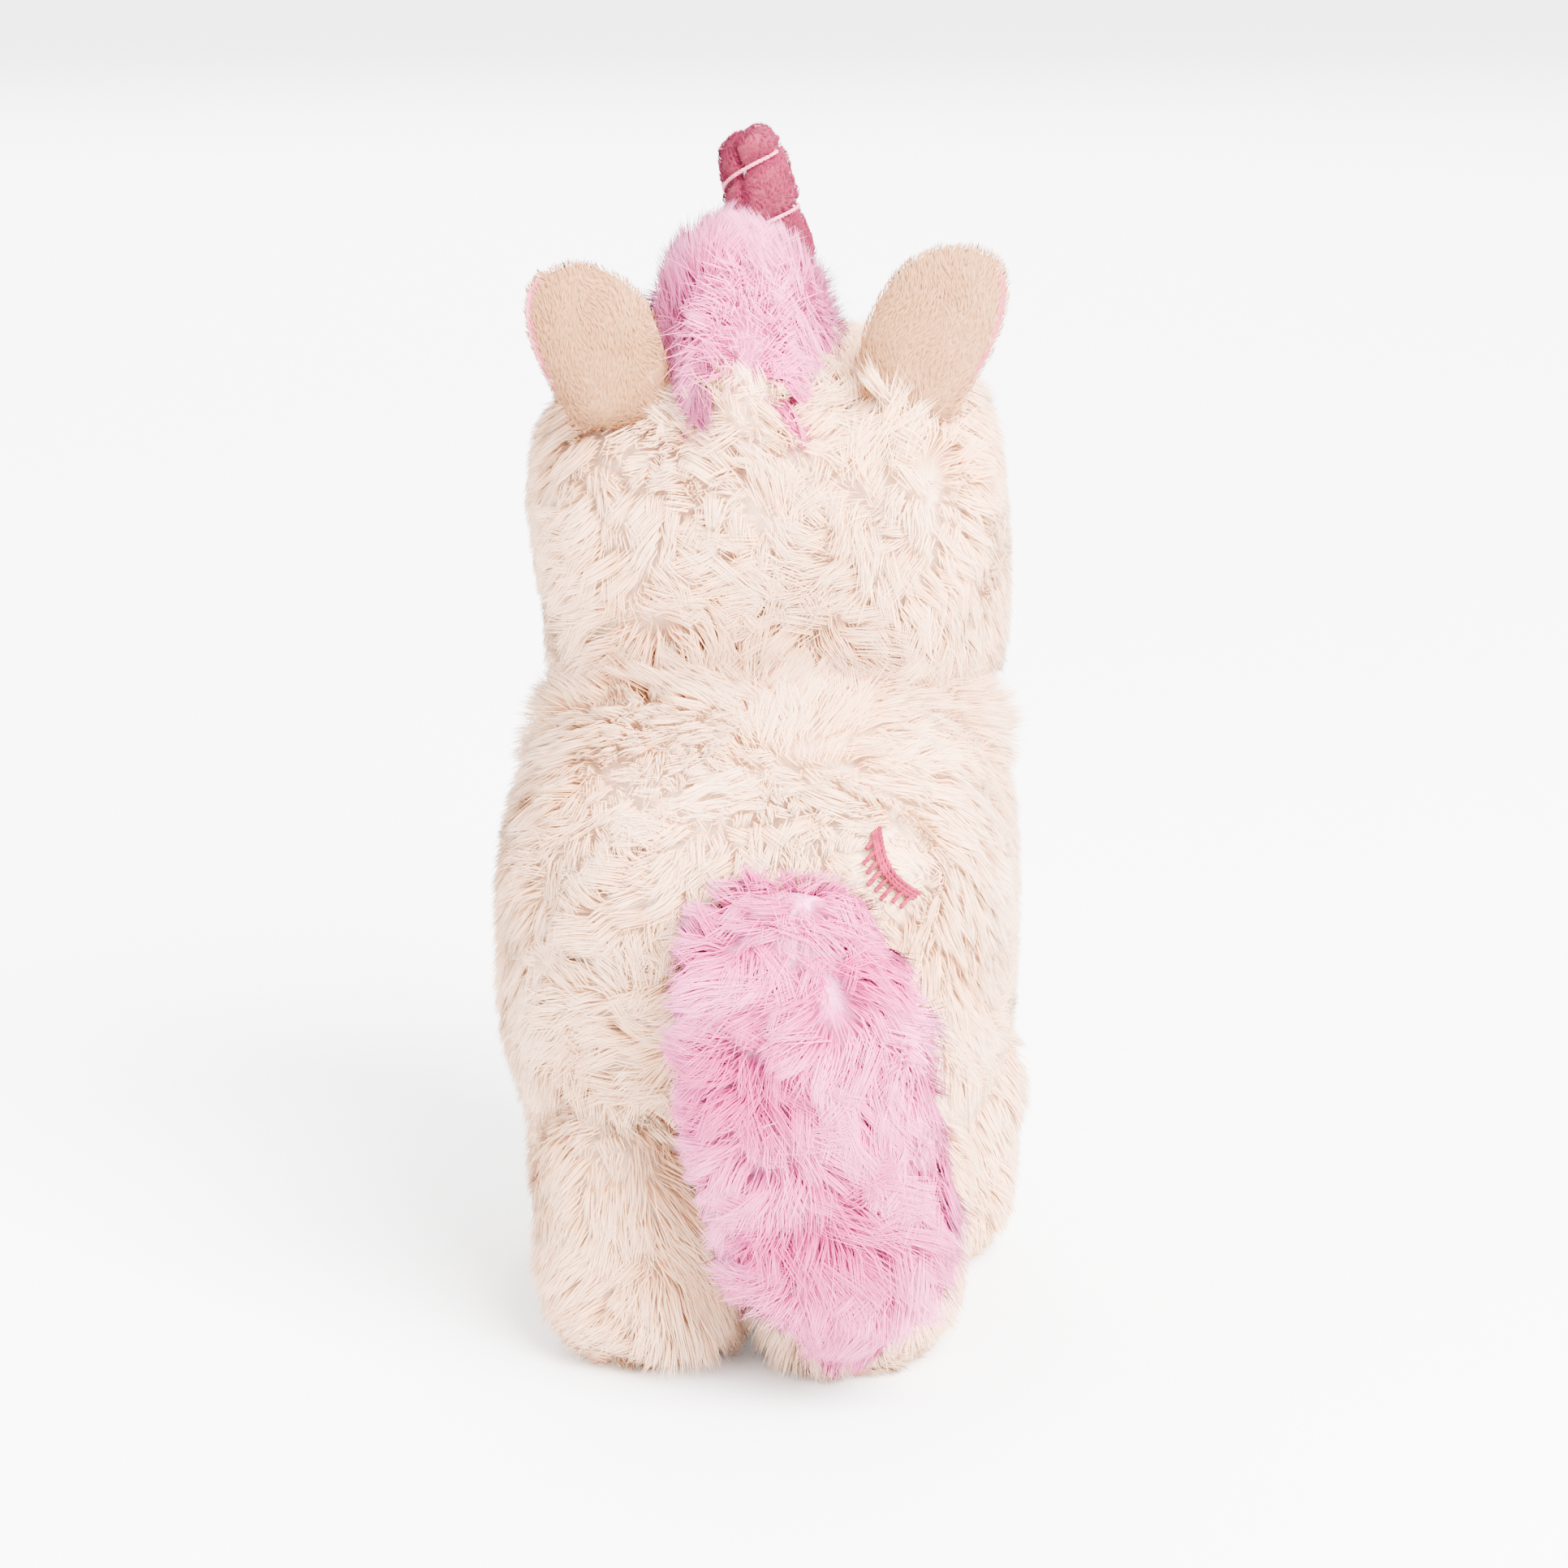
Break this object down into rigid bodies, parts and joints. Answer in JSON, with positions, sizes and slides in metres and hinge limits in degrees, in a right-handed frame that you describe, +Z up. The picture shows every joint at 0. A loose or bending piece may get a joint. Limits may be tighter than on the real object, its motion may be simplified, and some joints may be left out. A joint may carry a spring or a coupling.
{
  "type": "plush unicorn",
  "caption": "Small standing plush unicorn with long-pile skins, short-pile ears, a sewn horn with a spiral thread, a mane and a hanging tail.",
  "frame": {"origin": "on the floor, under the middle of the whole outline", "axes": "+Z up, the face looks towards -Y, the unicorn's own left side is +X"},
  "size_m": [0.087, 0.1442, 0.1964],
  "materials": {
    "cream_long_pile": "matte",
    "pink_long_pile": "matte",
    "fibre_filling": "matte",
    "cream_short_pile": "matte",
    "pink_lining": "matte",
    "crimson_velour": "matte",
    "crimson_thread": "satin",
    "pink_thread": "satin",
    "cream_thread": "satin",
    "washer_plastic": "matte",
    "eye_plastic": "gloss"
  },
  "bodies": {
    "torso": {"body_skin": "cream_long_pile", "body_filling": "fibre_filling", "belly_closing_stitch": "cream_thread", "wing_embroidery": "crimson_thread"},
    "head": {"head_skin": "cream_long_pile", "head_filling": "fibre_filling", "muzzle_skin": "cream_short_pile", "muzzle_filling": "fibre_filling", "nose_and_mouth_stitching": "crimson_thread", "eye_left": "eye_plastic", "eye_right": "eye_plastic", "eye_washer_left": "washer_plastic", "eye_washer_right": "washer_plastic", "mane": "pink_long_pile"},
    "horn": {"horn_cover": "crimson_velour", "horn_filling": "fibre_filling", "horn_spiral_thread": "pink_thread"},
    "ear_left": {"ear_back_left": "cream_short_pile", "ear_lining_left": "pink_lining"},
    "ear_right": {"ear_back_right": "cream_short_pile", "ear_lining_right": "pink_lining"},
    "tail": {"tail_skin": "pink_long_pile", "tail_filling": "fibre_filling"},
    "front_leg_left": {"front_leg_skin_left": "cream_long_pile", "front_leg_filling_left": "fibre_filling", "front_foot_sole_left": "cream_short_pile"},
    "front_leg_right": {"front_leg_skin_right": "cream_long_pile", "front_leg_filling_right": "fibre_filling", "front_foot_sole_right": "cream_short_pile"},
    "hind_leg_left": {"hind_leg_skin_left": "cream_long_pile", "hind_leg_filling_left": "fibre_filling", "hind_foot_sole_left": "cream_short_pile"},
    "hind_leg_right": {"hind_leg_skin_right": "cream_long_pile", "hind_leg_filling_right": "fibre_filling", "hind_foot_sole_right": "cream_short_pile"}
  },
  "joints": [
    {"name": "head_nod", "type": "hinge", "parent": "torso", "child": "head", "pos_m": [0, -0.023, 0.129], "axis": [0.9986, 0, -0.0523], "range_deg": [-8, 12], "stiffness_Nm_per_rad": 0.6},
    {"name": "front_leg_left_flex", "type": "hinge", "parent": "torso", "child": "front_leg_left", "pos_m": [0.027, -0.022, 0.032], "axis": [1, 0, 0], "range_deg": [-12, 12], "stiffness_Nm_per_rad": 0.6},
    {"name": "front_leg_right_flex", "type": "hinge", "parent": "torso", "child": "front_leg_right", "pos_m": [-0.027, -0.022, 0.032], "axis": [1, 0, 0], "range_deg": [-12, 12], "stiffness_Nm_per_rad": 0.6},
    {"name": "hind_leg_left_flex", "type": "hinge", "parent": "torso", "child": "hind_leg_left", "pos_m": [0.0195, 0.031, 0.032], "axis": [1, 0, 0], "range_deg": [-12, 12], "stiffness_Nm_per_rad": 0.6},
    {"name": "hind_leg_right_flex", "type": "hinge", "parent": "torso", "child": "hind_leg_right", "pos_m": [-0.0195, 0.031, 0.032], "axis": [1, 0, 0], "range_deg": [-12, 12], "stiffness_Nm_per_rad": 0.6},
    {"name": "ear_left_fold", "type": "hinge", "parent": "head", "child": "ear_left", "pos_m": [0.02475, -0.00086, 0.15413], "axis": [0.9901, 0.0696, -0.1217], "range_deg": [-35, 15], "stiffness_Nm_per_rad": 0.02},
    {"name": "ear_right_fold", "type": "hinge", "parent": "head", "child": "ear_right", "pos_m": [-0.02481, -0.00133, 0.15616], "axis": [0.9853, -0.0682, 0.1566], "range_deg": [-35, 15], "stiffness_Nm_per_rad": 0.02},
    {"name": "horn_bend", "type": "hinge", "parent": "head", "child": "horn", "pos_m": [-0.00141, -0.04123, 0.15946], "axis": [0.9781, 0, -0.2079], "range_deg": [-10, 10], "stiffness_Nm_per_rad": 0.05},
    {"name": "tail_swing", "type": "hinge", "parent": "torso", "child": "tail", "pos_m": [-0.007, 0.05858, 0.082], "axis": [1, 0, 0], "range_deg": [0, 75]}
  ]
}
